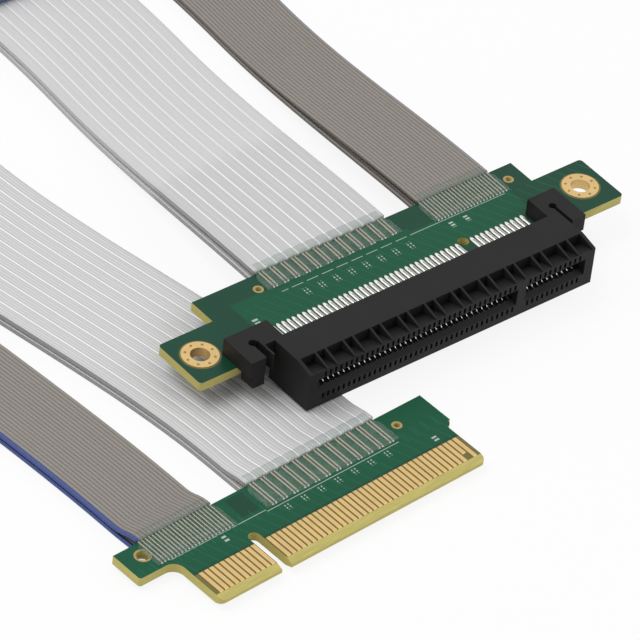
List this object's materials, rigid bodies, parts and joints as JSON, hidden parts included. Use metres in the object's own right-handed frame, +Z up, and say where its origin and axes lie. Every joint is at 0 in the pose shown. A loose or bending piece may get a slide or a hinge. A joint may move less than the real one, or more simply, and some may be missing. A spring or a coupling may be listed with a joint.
{
  "type": "gpu riser cable",
  "caption": "Flexible riser for an expansion card: a small card-edge board and a board with a card socket, joined by white and grey flat ribbons folded back behind them.",
  "frame": {"origin": "Centre of the bounding box of everything but the ribbons, at the height of the surface the part lies on.", "axes": "+X runs along the socket's long side, from the end of its long contact row to the end of its short one; +Y runs from the card edge back towards the ribbons; +Z is up, away from the surface the part lies on."},
  "size_m": [0.1186, 0.174, 0.0102],
  "materials": {
    "mask": "green solder mask over glass-fibre board, satin gloss",
    "gold": "thin gold plating",
    "tin": "bright tin plating",
    "housing": "black moulded plastic, fine matt grain",
    "copper": "bare tinned copper wire",
    "film": "clear resin over the solder joints",
    "ribbon_white": "soft white ribbon jacket with a groove between twin wires",
    "ribbon_grey": "soft grey ribbon jacket, fine ridges, one blue edge wire"
  },
  "bodies": {
    "root": {"edge_board": "mask", "socket_board": "mask", "socket_housing": "housing", "fingers_short_top": "gold", "fingers_long_top": "gold", "fingers_short_bottom": "gold", "fingers_long_bottom": "gold", "contacts_short_top": "tin", "contacts_long_top": "tin", "contacts_short_bottom": "tin", "contacts_long_bottom": "tin", "eyelet_left": "gold", "eyelet_right": "gold", "wires_edge_white_top": "copper", "film_edge_white_top": "film", "wires_edge_white_bottom": "copper", "film_edge_white_bottom": "film", "wires_edge_grey_top": "copper", "film_edge_grey_top": "film", "wires_edge_grey_bottom": "copper", "film_edge_grey_bottom": "film", "wires_socket_white_top": "copper", "film_socket_white_top": "film", "wires_socket_white_bottom": "copper", "film_socket_white_bottom": "film", "wires_socket_grey_top": "copper", "film_socket_grey_top": "film", "wires_socket_grey_bottom": "copper", "film_socket_grey_bottom": "film", "ribbon_white_top": "ribbon_white", "ribbon_white_bottom": "ribbon_white", "ribbon_grey_top": "ribbon_grey", "ribbon_grey_bottom": "ribbon_grey"}
  },
  "joints": []
}
